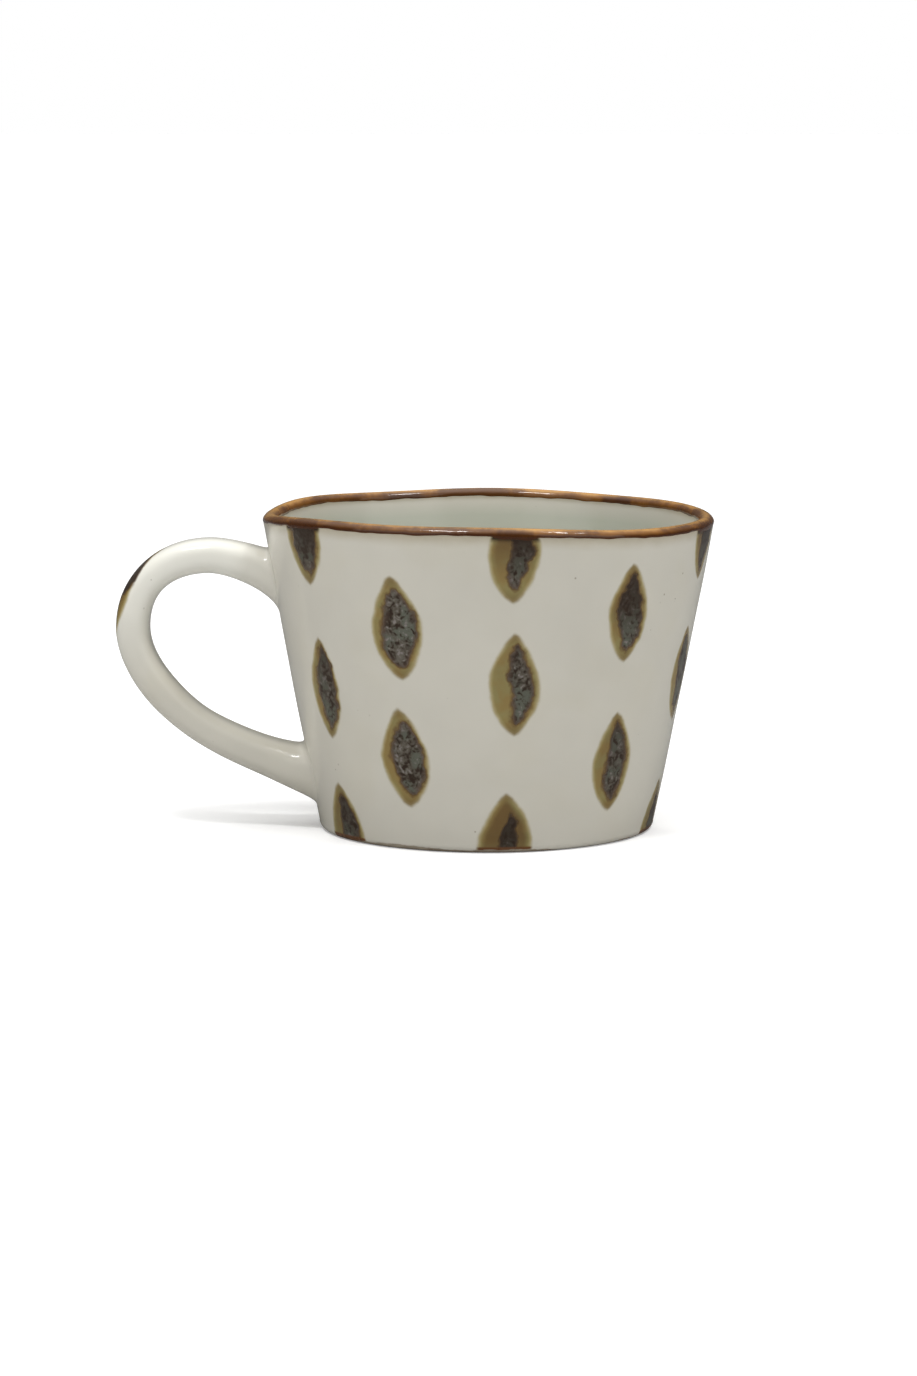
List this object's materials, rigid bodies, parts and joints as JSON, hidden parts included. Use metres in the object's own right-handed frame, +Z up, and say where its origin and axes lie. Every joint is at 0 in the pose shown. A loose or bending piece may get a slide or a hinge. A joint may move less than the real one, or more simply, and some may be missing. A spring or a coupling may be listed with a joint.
{
  "type": "mug",
  "caption": "Hand-built glazed stoneware mug with a flared conical body, a loop handle and a brown-glazed lip.",
  "frame": {"origin": "on the mug's axis, in the plane that it stands on", "axes": "+Z up along the axis, -X towards the handle, +Y to the back when the handle is on the left"},
  "size_m": [0.1393, 0.1046, 0.0752],
  "materials": {
    "white_glaze": "glossy warm grey-white glaze with soft-edged olive and dark brown brush marks",
    "iron_glaze": "glossy brown iron glaze, lighter where it is thin",
    "bare_clay": "matte unglazed stoneware"
  },
  "bodies": {
    "root": {"wall": "white_glaze", "floor": "bare_clay", "corner_coil": "white_glaze", "rim_glaze_band": "iron_glaze", "handle": "white_glaze", "upper_handle_joint": "white_glaze", "lower_handle_joint": "white_glaze"}
  },
  "joints": []
}
